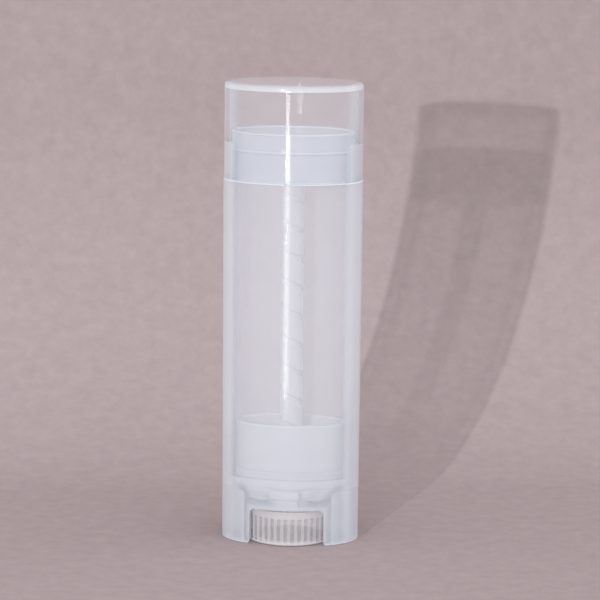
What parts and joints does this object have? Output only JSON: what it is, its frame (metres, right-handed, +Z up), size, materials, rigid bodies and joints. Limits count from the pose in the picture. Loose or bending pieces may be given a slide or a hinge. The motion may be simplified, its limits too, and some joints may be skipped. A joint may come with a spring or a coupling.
{
  "type": "oval twist-up lipstick tube",
  "caption": "Oval twist-up lipstick or balm tube in natural plastic, with a clear cap, a screw wheel and a cup that rises on a threaded spindle.",
  "frame": {"origin": "middle of the foot, on the surface that the tube stands on", "axes": "+Z up along the tube, +X along the wide side, +Y along the narrow side"},
  "size_m": [0.0202, 0.013, 0.067],
  "materials": {
    "barrel_plastic": "natural milky polypropylene, satin, see-through enough to show the spindle",
    "cap_plastic": "clear glossy polypropylene",
    "elevator_plastic": "natural milky polyethylene, satin",
    "wheel_plastic": "natural polypropylene, satin with bright rib edges"
  },
  "bodies": {
    "barrel": {"barrel": "barrel_plastic"},
    "cap": {"cap": "cap_plastic"},
    "elevator": {"elevator": "elevator_plastic"},
    "screw_wheel": {"screw_wheel": "wheel_plastic"}
  },
  "joints": [
    {"name": "cap_lift", "type": "slide", "parent": "barrel", "child": "cap", "axis": [0, 0, 1], "range_m": [0, 0.02]},
    {"name": "wheel_turn", "type": "hinge", "parent": "barrel", "child": "screw_wheel", "pos_m": [0, 0, 0], "axis": [0, 0, 1], "range_deg": [0, 3600]},
    {"name": "elevator_rise", "type": "slide", "parent": "barrel", "child": "elevator", "axis": [0, 0, 1], "range_m": [0, 0.042]}
  ],
  "couplings": [
    {"joint": "wheel_turn", "follows": "elevator_rise", "rad_per_m": 1496}
  ]
}
